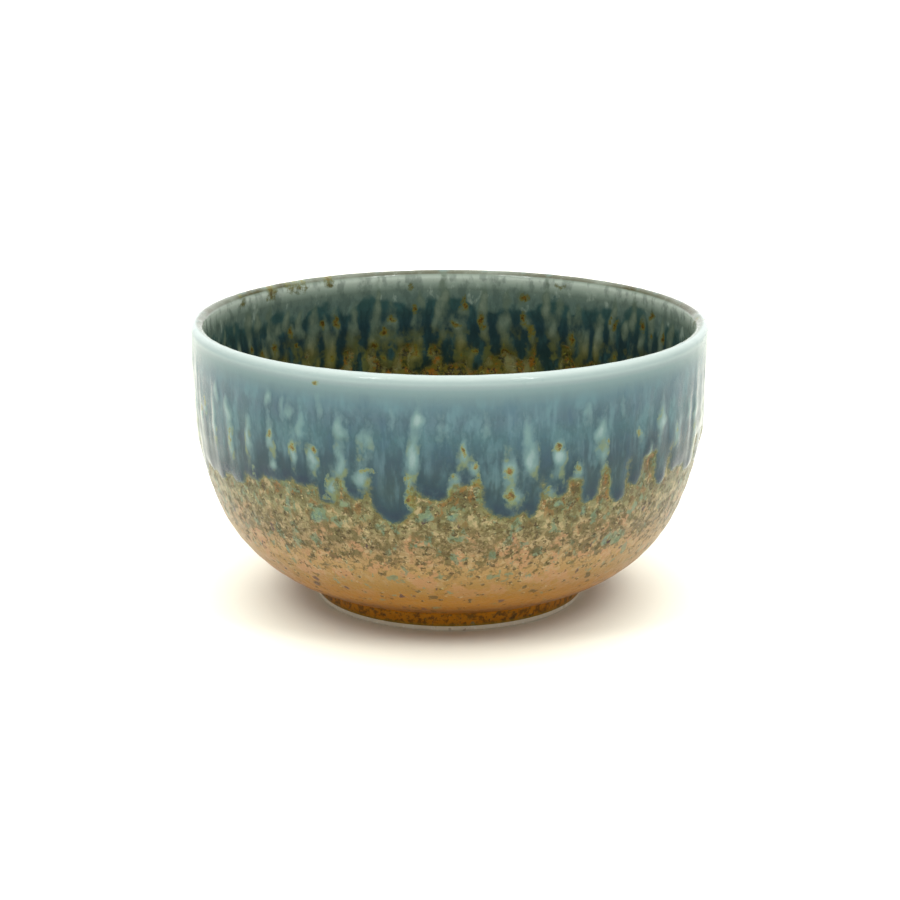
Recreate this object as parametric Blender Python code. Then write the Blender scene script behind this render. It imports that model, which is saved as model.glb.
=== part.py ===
"""Matcha bowl: a turned stoneware body on a luted foot ring, with a blue glaze dipped over a speckled one.

Metres, +Z up. The origin is on the ground at the centre of the foot, so the bowl's axis is Z.
Every glaze coat is a thin closed shell of its own, laid on the clay with a small gap."""

from math import cos, pi, radians, sin, tau

import bmesh
import bpy

MM = 0.001

# Driving dimensions of the finished, glazed bowl
RIM_RADIUS = 60.0 * MM  # widest radius, just under the lip
HEIGHT = 66.0 * MM  # ground to the crest of the lip
LIP_WALL = 3.0 * MM  # wall thickness at the lip, glaze included
HIP_WALL = 4.8 * MM  # wall thickness where the wall turns into the floor
# The outer wall is three tangent arcs from the lip down: radius, and lean from vertical at the lower end
WALL_ARCS = ((350.0 * MM, 2.9), (70.5 * MM, 21.5), (33.0 * MM, 75.5))
FLAT = 90.0  # lean at which the inside's last arc has become the level floor

GLAZE = 0.5 * MM  # thickness of every glaze coat
FIT_GAP = 0.3 * MM  # between pieces that touch

FOOT_RADIUS = 31.7 * MM  # the foot's glazed outer wall, at the wiped line
FOOT_FLARE = 0.5 * MM  # how much further the glaze pooled in the corner above stands out
FOOT_WIDTH = 6.0 * MM  # across the ring, glaze included
WIPED_EDGE = 1.2 * MM  # bare clay left above the ground
FOOT_ROUNDING = 0.7 * MM  # how far the bare clay is rounded in at the ground
RECESS_DEPTH = 4.0 * MM  # ground to the glazed underside inside the ring

COLUMNS = 48  # sides of every turned surface; a multiple of 4 makes the widest sides exact
ARC_STEP = 5.0 * MM  # longest side along a section
LIP_STEPS = 6  # sides round the full-round lip

# Where the blue glaze ends, measured down the wall from the lip: a mean and waves (lobes, height, phase)
OUTER_DRIP = (28.5 * MM, ((7, 1.1 * MM, 0.4), (11, 0.8 * MM, 2.1), (3, 0.6 * MM, 5.0)))
INNER_DRIP = (22.5 * MM, ((5, 0.9 * MM, 1.3), (9, 0.7 * MM, 3.9)))


def lean_at(distance):
    """The outer wall's arc at a distance down from the lip: its centre, its radius and the lean there."""
    centre_r, centre_z, start = RIM_RADIUS - WALL_ARCS[0][0], HEIGHT - LIP_WALL / 2, 0.0
    for radius, end in WALL_ARCS:
        length = radius * radians(end - start)
        if distance <= length or end == WALL_ARCS[-1][1]:
            return centre_r, centre_z, radius, radians(start) + distance / radius
        distance -= length
        following = WALL_ARCS[WALL_ARCS.index((radius, end)) + 1][0]
        centre_r += (radius - following) * cos(radians(end))
        centre_z -= (radius - following) * sin(radians(end))
        start = end


def wall_length(last_lean):
    """Distance down the outer wall from the lip to where its last arc has this lean."""
    ends = [end for _, end in WALL_ARCS[:-1]] + [last_lean]
    starts = [0.0] + ends[:-1]
    return sum(
        radius * radians(end - start) for (radius, _), start, end in zip(WALL_ARCS, starts, ends)
    )


FOOT_CORNER = wall_length(WALL_ARCS[-1][1])  # distance at which the outer wall meets the foot
FLOOR_START = wall_length(FLAT)  # distance at which the inside becomes the level floor


def wall_point(distance, depth):
    """(r, z) this far down the outer wall and this deep under its surface."""
    centre_r, centre_z, radius, lean = lean_at(distance)
    return centre_r + (radius - depth) * cos(lean), centre_z - (radius - depth) * sin(lean)


def inside_depth(distance):
    """Wall thickness this far down, from the lip's to the hip's."""
    return LIP_WALL + (HIP_WALL - LIP_WALL) * min(distance / FOOT_CORNER, 1.0)


def steps(start, end, count):
    return [start + (end - start) * i / count for i in range(count + 1)]


def outer_line(start, end, depth, count=None):
    """Points of the outer side from one distance down the wall to another, under the surface by depth."""
    count = count or max(1, round(abs(end - start) / ARC_STEP))
    return [wall_point(d, depth) for d in steps(start, end, count)]


def inner_line(start, end, depth, count=None):
    """The same for the inner side, where depth is counted from the inner surface."""
    count = count or max(1, round(abs(end - start) / ARC_STEP))
    return [wall_point(d, inside_depth(d) - depth) for d in steps(start, end, count)]


def lip_line(depth):
    """Points round the full-round lip, from its outer tangent point to its inner one."""
    radius = LIP_WALL / 2 - depth
    centre_r, centre_z = RIM_RADIUS - LIP_WALL / 2, HEIGHT - LIP_WALL / 2
    angles = steps(0.0, pi, LIP_STEPS)
    return [(centre_r + radius * cos(a), centre_z + radius * sin(a)) for a in angles]


def drip_at(drip, azimuth):
    """Distance down the wall at which the blue glaze ends at this azimuth."""
    mean, waves = drip
    return mean + sum(height * cos(lobes * azimuth + phase) for lobes, height, phase in waves)


def finish_mesh(name, bm, slot):
    """A smooth-shaded object from a bmesh whose faces are turned outward."""
    bmesh.ops.remove_doubles(bm, verts=bm.verts, dist=MM / 1000)
    bmesh.ops.recalc_face_normals(bm, faces=bm.faces)
    mesh = bpy.data.meshes.new(name)
    bm.to_mesh(mesh)
    bm.free()
    mesh.shade_smooth()
    mesh.set_sharp_from_angle(angle=radians(35))
    mesh.materials.append(slot)
    piece = bpy.data.objects.new(name, mesh)
    bpy.context.scene.collection.objects.link(piece)
    return piece


def turned(name, section, slot, closed):
    """A solid turned about Z from a section of (r, z) points; an open one has both ends on the axis."""
    bm = bmesh.new()
    points = [bm.verts.new((r, 0.0, z)) for r, z in section]
    pairs = zip(points, points[1:] + points[:1]) if closed else zip(points, points[1:])
    edges = [bm.edges.new(pair) for pair in pairs]
    bmesh.ops.spin(
        bm, geom=points + edges, cent=(0, 0, 0), axis=(0, 0, 1), angle=tau, steps=COLUMNS, use_merge=True
    )
    return finish_mesh(name, bm, slot)


def coat(name, section_at, slot, closed=True):
    """A shell whose section changes round the bowl: section_at(azimuth) gives its (r, z) points.

    An open section starts and ends on the axis, where its first and last points become the poles."""
    bm = bmesh.new()
    rings = []
    for column in range(COLUMNS):
        azimuth = tau * column / COLUMNS
        section = section_at(azimuth)
        rings.append([bm.verts.new((r * cos(azimuth), r * sin(azimuth), z)) for r, z in section])
    for ring, following in zip(rings, rings[1:] + rings[:1]):
        last = len(ring) if closed else len(ring) - 1
        for i in range(last):
            j = (i + 1) % len(ring)
            bm.faces.new((ring[i], following[i], following[j], ring[j]))
    bmesh.ops.remove_doubles(bm, verts=bm.verts, dist=MM / 1000)
    bmesh.ops.dissolve_degenerate(bm, edges=bm.edges, dist=MM / 1000)
    return finish_mesh(name, bm, slot)


def slot_material(name, colour, roughness):
    """A Principled material of one glaze or clay."""
    slot = bpy.data.materials.new(name)
    slot.use_nodes = True
    shader = slot.node_tree.nodes["Principled BSDF"]
    shader.inputs["Base Color"].default_value = (*colour, 1.0)
    shader.inputs["Roughness"].default_value = roughness
    shader.inputs["Metallic"].default_value = 0.0
    return slot


# Depth of the clay under every glazed surface
UNDER_GLAZE = GLAZE + FIT_GAP


def clay_body(slot):
    """The turned body: outer wall, lip, inner wall and floor, with a flat base for the foot ring."""
    base_z = RECESS_DEPTH + UNDER_GLAZE
    outer = outer_line(FOOT_CORNER, 0.0, UNDER_GLAZE)
    inner = inner_line(0.0, FLOOR_START, UNDER_GLAZE)
    # The outer wall runs on at its last lean until it meets the flat base
    corner_r, corner_z = outer[0]
    lean = radians(WALL_ARCS[-1][1])
    base_r = corner_r - (corner_z - base_z) * sin(lean) / cos(lean)
    section = [(0.0, base_z), (base_r, base_z)] + outer + lip_line(UNDER_GLAZE)[1:-1] + inner
    return turned("clay_body", section + [(0.0, inner[-1][1])], slot, closed=False)


def foot_ring(slot):
    """The luted ring: bare and rounded where it stands, under glaze above the wiped edge."""
    outer_r = FOOT_RADIUS - UNDER_GLAZE
    inner_r = FOOT_RADIUS - FOOT_WIDTH + UNDER_GLAZE
    body_r, body_z = wall_point(FOOT_CORNER, UNDER_GLAZE)
    slope = cos(radians(WALL_ARCS[-1][1])) / sin(radians(WALL_ARCS[-1][1]))
    flat_z = RECESS_DEPTH + GLAZE
    outer_z = body_z - FIT_GAP / sin(radians(WALL_ARCS[-1][1])) - (body_r - outer_r) * slope
    flat_r = outer_r - (outer_z - flat_z) / slope
    section = [
        (inner_r + FOOT_ROUNDING, 0.0),
        (outer_r - FOOT_ROUNDING, 0.0),
        (outer_r - FOOT_ROUNDING * (1 - sin(pi / 4)), FOOT_ROUNDING * (1 - cos(pi / 4))),
        (outer_r, FOOT_ROUNDING),
        (outer_r, outer_z),
        (flat_r, flat_z),
        (inner_r, flat_z),
        (inner_r, FOOT_ROUNDING),
        (inner_r + FOOT_ROUNDING * (1 - sin(pi / 4)), FOOT_ROUNDING * (1 - cos(pi / 4))),
    ]
    return turned("foot_ring", section, slot, closed=True)


def rim_blue_glaze(slot):
    """The blue coat: over the lip, and down both sides to its two drip lines."""

    def section_at(azimuth):
        outer_end = drip_at(OUTER_DRIP, azimuth)
        inner_end = drip_at(INNER_DRIP, azimuth)
        count = 6

        def side(depth):
            outer = outer_line(outer_end, 0.0, depth, count)
            inner = inner_line(0.0, inner_end, depth, count)
            return outer + lip_line(depth)[1:-1] + inner

        return side(0.0) + side(GLAZE)[::-1]

    return coat("rim_blue_glaze", section_at, slot)


def outer_speckled_glaze(slot):
    """The speckled coat outside: from under the blue drips to the wiped edge of the foot."""

    def section_at(azimuth):
        start = drip_at(OUTER_DRIP, azimuth) + FIT_GAP
        count = 9
        front = outer_line(start, FOOT_CORNER, 0.0, count) + [
            (FOOT_RADIUS + FOOT_FLARE, wall_point(FOOT_CORNER, 0.0)[1] - FIT_GAP),
            (FOOT_RADIUS, WIPED_EDGE),
        ]
        back = outer_line(start, FOOT_CORNER, GLAZE, count) + [
            (FOOT_RADIUS - GLAZE, wall_point(FOOT_CORNER, GLAZE)[1] - FIT_GAP),
            (FOOT_RADIUS - GLAZE, WIPED_EDGE),
        ]
        return front + back[::-1]

    return coat("outer_speckled_glaze", section_at, slot)


def well_speckled_glaze(slot):
    """The speckled coat inside: the lower wall and the floor of the well."""

    def section_at(azimuth):
        start = drip_at(INNER_DRIP, azimuth) + FIT_GAP
        count = 10
        front = inner_line(start, FLOOR_START, 0.0, count)
        back = inner_line(start, FLOOR_START, GLAZE, count)
        return [(0.0, front[-1][1])] + front[::-1] + back + [(0.0, back[-1][1])]

    return coat("well_speckled_glaze", section_at, slot, closed=False)


def underside_glaze(slot):
    """The coat inside the foot ring: the recess and the ring's inner wall, down to the wiped edge."""
    wall_r = FOOT_RADIUS - FOOT_WIDTH
    section = [
        (0.0, RECESS_DEPTH),
        (wall_r, RECESS_DEPTH),
        (wall_r, WIPED_EDGE),
        (wall_r + GLAZE, WIPED_EDGE),
        (wall_r + GLAZE, RECESS_DEPTH + GLAZE),
        (0.0, RECESS_DEPTH + GLAZE),
    ]
    return turned("underside_glaze", section, slot, closed=False)


def main():
    for thing in list(bpy.data.objects):
        bpy.data.objects.remove(thing, do_unlink=True)

    clay = slot_material("stoneware", (0.42, 0.35, 0.24), 0.85)
    blue = slot_material("blue_glaze", (0.16, 0.24, 0.24), 0.15)
    speckled = slot_material("speckled_glaze", (0.30, 0.22, 0.11), 0.3)

    stand = bpy.data.objects.new("matcha_bowl", None)
    bpy.context.scene.collection.objects.link(stand)
    pieces = (
        clay_body(clay),
        foot_ring(clay),
        rim_blue_glaze(blue),
        outer_speckled_glaze(speckled),
        well_speckled_glaze(speckled),
        underside_glaze(speckled),
    )
    for piece in pieces:
        piece.parent = stand


main()
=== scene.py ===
"""Looks of the matcha bowl: the turned shape of the CAD coats at full detail, with run and speckled glazes.

Every visible surface is the outside or the inside of one wall. A point of it is given by its azimuth and by
its distance, in millimetres, down the outer wall from the lip. The glazes are painted as fields over those
two coordinates: where the blue runs, where it pales, where it turns ochre and how thick it lies. The fields
shape the meshes and are stored on them for the materials."""

from math import cos, pi, radians, sin, tau

import bpy
import numpy as np
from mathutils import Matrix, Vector


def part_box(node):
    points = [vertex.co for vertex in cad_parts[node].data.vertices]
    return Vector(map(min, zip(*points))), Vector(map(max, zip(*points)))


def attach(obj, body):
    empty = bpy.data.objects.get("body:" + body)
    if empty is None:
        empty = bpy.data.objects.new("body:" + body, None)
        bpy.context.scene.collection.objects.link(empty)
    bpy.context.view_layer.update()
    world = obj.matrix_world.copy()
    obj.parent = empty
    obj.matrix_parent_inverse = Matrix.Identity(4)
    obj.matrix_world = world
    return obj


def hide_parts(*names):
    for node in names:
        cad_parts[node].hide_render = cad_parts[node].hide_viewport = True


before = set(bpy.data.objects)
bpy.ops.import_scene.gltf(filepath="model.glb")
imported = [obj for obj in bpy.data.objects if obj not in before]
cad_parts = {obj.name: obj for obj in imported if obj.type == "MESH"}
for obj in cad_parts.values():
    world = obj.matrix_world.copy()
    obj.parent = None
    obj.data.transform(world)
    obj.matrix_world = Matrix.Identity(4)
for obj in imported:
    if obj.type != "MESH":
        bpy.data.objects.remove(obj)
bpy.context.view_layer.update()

MM = 0.001

# ---------------------------------------------------------------- the wall, hung from the CAD coats' boxes

rim_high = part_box("rim_blue_glaze")[1]
foot_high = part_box("foot_ring")[1]
underside_low, underside_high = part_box("underside_glaze")

RIM_RADIUS = rim_high.x / MM
HEIGHT = rim_high.z / MM
LIP_WALL = 3.0
HIP_WALL = 4.8
WALL_ARCS = ((350.0, 2.9), (70.5, 21.5), (33.0, 75.5))  # radius, and lean from vertical at the lower end
GLAZE = 0.5
CLAY_UNDER_GLAZE = 0.12  # how far the bare clay of the foot stands back from the glaze
FOOT_RADIUS = foot_high.x / MM + 0.8
FOOT_FLARE = 0.5
FOOT_WIDTH = 6.0
WIPED_EDGE = underside_low.z / MM
RECESS_DEPTH = underside_high.z / MM - GLAZE
LIP_RADIUS = LIP_WALL / 2
LIP_CENTRE = (RIM_RADIUS - LIP_RADIUS, HEIGHT - LIP_RADIUS)


def arc_table():
    """Each arc of the wall: where it starts down the wall, its lean there, its radius and its centre."""
    rows = []
    start = 0.0
    lean = 0.0
    centre_r = RIM_RADIUS - WALL_ARCS[0][0]
    centre_z = LIP_CENTRE[1]
    for i, (radius, end) in enumerate(WALL_ARCS):
        rows.append((start, radians(lean), radius, centre_r, centre_z))
        start += radius * radians(end - lean)
        lean = end
        if i + 1 < len(WALL_ARCS):
            following = WALL_ARCS[i + 1][0]
            centre_r += (radius - following) * cos(radians(end))
            centre_z -= (radius - following) * sin(radians(end))
    return rows, start


ARCS, FOOT_CORNER = arc_table()
FLOOR_START = FOOT_CORNER + WALL_ARCS[-1][0] * radians(90.0 - WALL_ARCS[-1][1])


def wall_point(distance, depth):
    """(r, z) of points this far down the outer wall and this deep under it; arrays are welcome."""
    distance, depth = np.broadcast_arrays(distance, depth)
    r = np.empty(distance.shape)
    z = np.empty(distance.shape)
    for i, (start, lean, radius, centre_r, centre_z) in enumerate(ARCS):
        end = ARCS[i + 1][0] if i + 1 < len(ARCS) else np.inf
        here = (distance >= start if i else True) & (distance < end)
        angle = lean + (distance - start) / radius
        r = np.where(here, centre_r + (radius - depth) * np.cos(angle), r)
        z = np.where(here, centre_z - (radius - depth) * np.sin(angle), z)
    return r, z


def inside_depth(distance):
    """Wall thickness this far down."""
    return LIP_WALL + (HIP_WALL - LIP_WALL) * np.clip(distance / FOOT_CORNER, 0.0, 1.0)


# ---------------------------------------------------------------- fields over azimuth and distance

AROUND = 1440  # columns of a field, a quarter of a degree each
DOWN_STEP = 0.25  # millimetres between a field's rows
FIELD_DEPTH = 84.0  # down to the floor's edge inside, and past the foot outside
ROWS = int(FIELD_DEPTH / DOWN_STEP) + 1
FIELD_RADIUS = 58.0  # the radius at which widths along the wall are counted

down = (np.arange(ROWS) * DOWN_STEP)[:, None]
around = (np.arange(AROUND) * tau / AROUND)[None, :]  # azimuth 0 is the side that faces the viewer


def smooth(value, low, high):
    """0 below low, 1 above high and a smooth step between; low may be the larger."""
    t = np.clip((value - low) / (high - low), 0.0, 1.0)
    return t * t * (3 - 2 * t)


def ring_noise(seed, cells_around, cell_down):
    """Smooth noise from -1 to 1 that closes round the bowl, with cells this many round and this deep."""
    rng = np.random.default_rng(seed)
    deep = int(FIELD_DEPTH / cell_down) + 3
    knots = rng.uniform(-1, 1, (deep, cells_around))
    u = around / tau * cells_around
    v = down / cell_down
    i = np.floor(u).astype(int)
    j = np.floor(v).astype(int)
    s = smooth(u - i, 0.0, 1.0)
    t = smooth(v - j, 0.0, 1.0)
    left, right = i % cells_around, (i + 1) % cells_around
    top = knots[j, left] * (1 - s) + knots[j, right] * s
    bottom = knots[j + 1, left] * (1 - s) + knots[j + 1, right] * s
    return top * (1 - t) + bottom * t


def near(azimuth, reach):
    """The columns within reach (mm) of an azimuth (degrees), and how far each lies from it, in mm."""
    turn = (around[0] - radians(azimuth) + pi) % tau - pi
    offset = turn * FIELD_RADIUS
    columns = np.nonzero(np.abs(offset) < reach)[0]
    return columns, offset[columns]


def grain(seed, size):
    """Noise from -1 to 1 with cells about this many millimetres both ways."""
    return ring_noise(seed, round(tau * FIELD_RADIUS / size), size)


def blurred(field, around_size, down_size=None):
    """The field blurred by a Gaussian of this many millimetres each way, closing round the bowl."""
    down_size = down_size or around_size
    waves_around = np.fft.fftfreq(AROUND, tau * FIELD_RADIUS / AROUND)[None, :]
    padded = np.concatenate([field, field[::-1]])
    waves_down = np.fft.fftfreq(2 * ROWS, DOWN_STEP)[:, None]
    kernel = np.exp(-2 * pi ** 2 * ((waves_around * around_size) ** 2 + (waves_down * down_size) ** 2))
    return np.fft.ifft2(np.fft.fft2(padded) * kernel).real[:ROWS]


class Wander:
    """How far a glaze's edges stray from a plain outline, across and down, in millimetres."""

    def __init__(self, seed, scale=1.0):
        self.across = scale * (0.75 * grain(seed, 4.5) + 0.40 * grain(seed + 1, 1.9))
        self.down = scale * (0.90 * grain(seed + 2, 4.0) + 0.45 * grain(seed + 3, 1.7))


def run_fields(drips, shoulder, wander):
    """Where the blue has run, from 0 to 1, and how deep it has gathered over its lower ends."""
    level = down + wander.down
    run = smooth(level, shoulder + 0.8, shoulder - 0.8)
    for azimuth, width, end in drips:
        columns, offset = near(azimuth, width)
        here = level[:, columns]
        cap = 1.0 + 0.3 * width  # how tall the round end is
        past = np.maximum(here - (end - cap), 0.0) / cap
        inside = smooth(np.hypot((offset + wander.across[:, columns]) / (width / 2), past), 1.18, 0.82)
        run[:, columns] = np.maximum(run[:, columns], inside)
    # The blue darkens over the last millimetres above its end, in each column
    left_below = np.cumsum(run[::-1], axis=0)[::-1] * DOWN_STEP
    gathered = run * smooth(left_below, 9.0, 0.8)
    return run, blurred(gathered, 0.9, 0.5)


def drops(spots, wander, core=0.1):
    """Soft drops, narrower above than below: azimuth, middle, length, width and strength of each."""
    field = np.zeros((ROWS, AROUND))
    for azimuth, middle, length, width, strength in spots:
        columns, offset = near(azimuth, width + 3.0)
        y = (down + wander.down[:, columns] - middle) / (length / 2)
        narrowing = 0.65 + 0.35 * smooth(y, -1.0, 0.6)
        x = (offset + wander.across[:, columns]) / (width / 2 * narrowing)
        drop = strength * smooth(np.hypot(x, y), 1.45, core)
        field[:, columns] = np.maximum(field[:, columns], drop)
    return field


def tear_field(tears, wander):
    """Pale tears, each with a faint trail above and below it."""
    field = drops(tears, wander)
    return np.clip(np.maximum(field, 1.1 * blurred(field, 0.5, 3.5)), 0.0, 1.0)


def scattered(seed, start, end, spacing):
    """Azimuths from start to end, about this many degrees apart, each with the random generator."""
    rng = np.random.default_rng(seed)
    azimuth = start
    while azimuth < end:
        yield azimuth, rng
        azimuth += spacing * rng.uniform(0.65, 1.35)


# The drips that face the viewer: azimuth in degrees, width and lower end in millimetres
FRONT_DRIPS = [
    (-73.0, 8.0, 31.0), (-67.0, 7.0, 29.0), (-60.5, 7.0, 29.4), (-56.4, 5.0, 27.2), (-52.6, 6.4, 28.8),
    (-46.5, 8.5, 26.0), (-39.0, 8.5, 25.2), (-31.5, 8.5, 25.3), (-26.2, 4.6, 28.8), (-19.5, 6.0, 26.4),
    (-12.0, 8.6, 30.8), (-3.0, 7.4, 25.4), (12.4, 11.4, 29.7), (17.4, 2.6, 30.8), (22.4, 6.4, 26.2),
    (31.0, 4.6, 29.6), (38.4, 5.2, 29.0), (43.4, 4.2, 26.0), (52.2, 5.6, 28.6), (59.0, 7.0, 27.0),
]
# The pale tears that face the viewer: azimuth, middle, length, width and strength
FRONT_TEARS = [
    (-54.3, 11.5, 8.0, 2.6, 0.95), (-53.8, 18.5, 8.0, 2.6, 0.95), (-46.8, 16.0, 9.5, 2.6, 0.85),
    (-40.3, 6.2, 5.0, 2.4, 0.7), (-40.0, 15.0, 6.5, 2.6, 0.85), (-39.6, 20.5, 4.5, 2.2, 0.75),
    (-34.2, 17.5, 5.5, 3.2, 1.0), (-29.1, 17.5, 6.0, 3.0, 0.9), (-32.0, 11.5, 6.0, 2.4, 0.65),
    (-22.4, 11.3, 5.0, 3.6, 0.7), (-23.0, 18.5, 9.0, 3.0, 0.7), (-24.0, 24.0, 6.5, 4.6, 0.75),
    (-17.8, 21.5, 5.0, 4.8, 0.9), (-17.0, 13.2, 6.5, 3.6, 0.6), (-6.1, 7.4, 5.0, 3.6, 0.95),
    (-7.4, 16.0, 8.5, 3.6, 0.9), (-7.8, 21.5, 5.0, 3.4, 0.6), (3.0, 14.2, 6.5, 3.4, 0.75),
    (4.8, 17.6, 5.0, 3.2, 0.7), (1.0, 21.0, 8.0, 3.2, 0.6), (12.4, 18.0, 6.0, 4.0, 0.75),
    (13.2, 24.0, 6.0, 4.6, 0.6), (15.8, 10.5, 9.0, 3.2, 0.6), (16.6, 16.5, 9.0, 3.8, 0.9),
    (22.5, 16.6, 5.2, 4.0, 1.0), (21.2, 25.2, 5.0, 4.2, 0.6), (27.4, 20.0, 6.0, 3.4, 0.6),
    (32.6, 12.6, 6.0, 3.2, 0.8), (34.0, 17.5, 6.0, 3.0, 0.6), (44.0, 15.0, 6.0, 3.0, 0.5),
    (50.6, 13.2, 6.5, 2.8, 0.9), (46.5, 19.5, 5.0, 2.6, 0.5), (57.0, 17.0, 8.0, 2.6, 0.6),
    (63.0, 13.0, 9.0, 2.4, 0.6), (-61.0, 15.0, 10.0, 2.4, 0.85), (-12.0, 8.0, 9.0, 3.2, 0.3),
    (-2.0, 10.0, 9.0, 3.0, 0.25), (8.0, 9.0, 8.0, 3.2, 0.35), (29.0, 8.5, 7.0, 3.4, 0.35),
    (38.5, 8.0, 8.0, 2.2, 0.35), (-27.0, 6.5, 6.0, 2.6, 0.35), (-36.0, 7.0, 6.0, 2.2, 0.5),
    (-58.5, 8.2, 6.0, 2.4, 0.75), (-34.5, 8.0, 5.0, 2.4, 0.6), (-18.2, 12.0, 4.0, 3.0, 0.5),
]
# The teal islands in the speckled glaze, the same way
FRONT_ISLANDS = [
    (-29.2, 31.4, 4.2, 5.2, 1.0), (-37.6, 29.8, 4.6, 2.2, 0.75), (-4.6, 29.8, 3.2, 3.0, 0.95),
    (0.4, 29.6, 3.2, 3.6, 0.95), (23.6, 28.0, 2.8, 2.6, 0.9), (-41.8, 43.0, 4.2, 1.6, 0.9),
    (38.6, 39.4, 4.6, 2.4, 0.9), (14.6, 33.4, 2.6, 3.0, 0.6), (-22.4, 27.6, 3.4, 4.6, 0.6),
    (30.2, 30.6, 3.0, 3.0, 0.6), (46.4, 31.0, 4.0, 2.4, 0.6), (-52.0, 31.0, 4.0, 2.6, 0.6),
    (8.6, 41.0, 2.4, 1.8, 0.6), (-12.6, 38.0, 2.6, 1.6, 0.6), (33.0, 46.4, 3.0, 1.6, 0.6),
]
# Where the glaze has broken to ochre, at the viewer's side: azimuth, middle, length, width and strength
FRONT_OCHRE = [
    (-54.0, 18.0, 8.0, 1.8, 0.6), (-40.2, 14.0, 2.4, 2.0, 0.75), (-34.4, 16.2, 3.0, 3.0, 1.0),
    (-28.6, 15.2, 1.8, 2.8, 0.9), (-25.5, 22.0, 5.0, 1.6, 0.6), (-22.6, 24.0, 7.0, 1.5, 0.6),
    (-16.5, 20.0, 1.6, 4.4, 0.7), (-26.4, 27.0, 2.4, 2.6, 0.6), (-8.2, 20.6, 2.6, 2.4, 0.75),
    (-8.2, 25.0, 7.0, 2.8, 1.0), (3.0, 13.6, 3.2, 2.2, 0.9), (5.2, 17.0, 2.6, 2.0, 1.0),
    (5.4, 22.5, 8.5, 3.0, 1.0), (0.6, 19.6, 2.0, 2.0, 0.75), (0.6, 24.0, 5.0, 3.0, 0.7),
    (12.0, 18.6, 3.0, 2.4, 1.0), (12.8, 24.4, 3.4, 3.4, 0.95), (22.6, 14.6, 2.2, 3.4, 0.8),
    (20.4, 23.4, 2.2, 3.0, 0.6), (27.0, 19.0, 3.0, 2.8, 0.6), (26.6, 24.0, 6.5, 3.0, 1.0),
    (34.8, 22.5, 9.0, 2.8, 1.0), (34.4, 15.5, 2.0, 1.6, 0.6), (43.6, 14.5, 4.0, 2.2, 0.6),
    (46.9, 21.5, 7.0, 2.6, 0.95), (50.0, 12.0, 2.5, 2.0, 0.5), (-46.0, 24.0, 4.0, 2.0, 0.5),
    (57.4, 16.0, 3.0, 2.0, 0.6),
]
# Brown patches on the lip itself, the same way
LIP_RUST = [
    (-28.0, 1.7, 1.7, 1.9, 1.0), (222.0, 0.2, 3.2, 7.0, 0.85), (231.0, 0.2, 3.0, 6.0, 0.75),
    (213.0, 0.3, 2.6, 4.0, 0.7), (243.0, 0.3, 2.4, 3.0, 0.6), (190.0, 1.8, 2.0, 2.4, 0.6),
    (150.0, 0.2, 2.4, 4.0, 0.55), (88.0, 0.3, 2.4, 4.0, 0.5),
]


def outer_fields():
    """The glaze outside, as one array for each property."""
    wander = Wander(60)
    drips = list(FRONT_DRIPS)
    tears = FRONT_TEARS + FRONT_ISLANDS
    ochre = FRONT_OCHRE + LIP_RUST
    for azimuth, rng in scattered(21, 66.0, 293.0, 6.8):
        drips.append((azimuth, rng.uniform(4.4, 8.6), rng.uniform(25.0, 30.6)))
    for azimuth, rng in scattered(22, 67.0, 294.0, 4.6):
        middle = rng.uniform(12.0, 19.0)
        width = rng.uniform(2.4, 3.8)
        tears.append((azimuth, middle, rng.uniform(4.5, 9.0), width, rng.uniform(0.5, 1.0)))
        if rng.random() < 0.45:
            aside = azimuth + rng.uniform(-0.5, 0.5)
            ochre.append((aside, middle - 1.5, rng.uniform(1.8, 3.5), 0.8 * width, 0.9))
    for azimuth, rng in scattered(23, 69.0, 294.0, 9.5):
        middle = rng.uniform(21.0, 24.0)
        ochre.append((azimuth, middle, rng.uniform(5.0, 8.5), rng.uniform(2.0, 3.2), 1.0))
        tears.append((azimuth + rng.uniform(-1.5, 1.5), middle - 3.0, 6.0, 3.4, 0.6))
    for azimuth, rng in scattered(24, 67.0, 294.0, 8.0):
        middle = rng.uniform(5.0, 10.0)
        tears.append((azimuth, middle, rng.uniform(4, 9), rng.uniform(2.2, 3.4), rng.uniform(0.25, 0.6)))
    for azimuth, rng in scattered(25, 66.0, 294.0, 8.0):
        middle = rng.uniform(29.0, 42.0)
        tears.append((azimuth, middle, rng.uniform(2.5, 4.5), rng.uniform(1.6, 4.4), rng.uniform(0.6, 1.0)))
    shoulder = 20.5 + 1.5 * ring_noise(13, 26, 100.0)[:1]
    run, gathered = run_fields(drips, shoulder, wander)
    return finished_fields(run, gathered, tear_field(tears, wander), drops(ochre, wander, 0.0), 0.0, seed=30)


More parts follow.
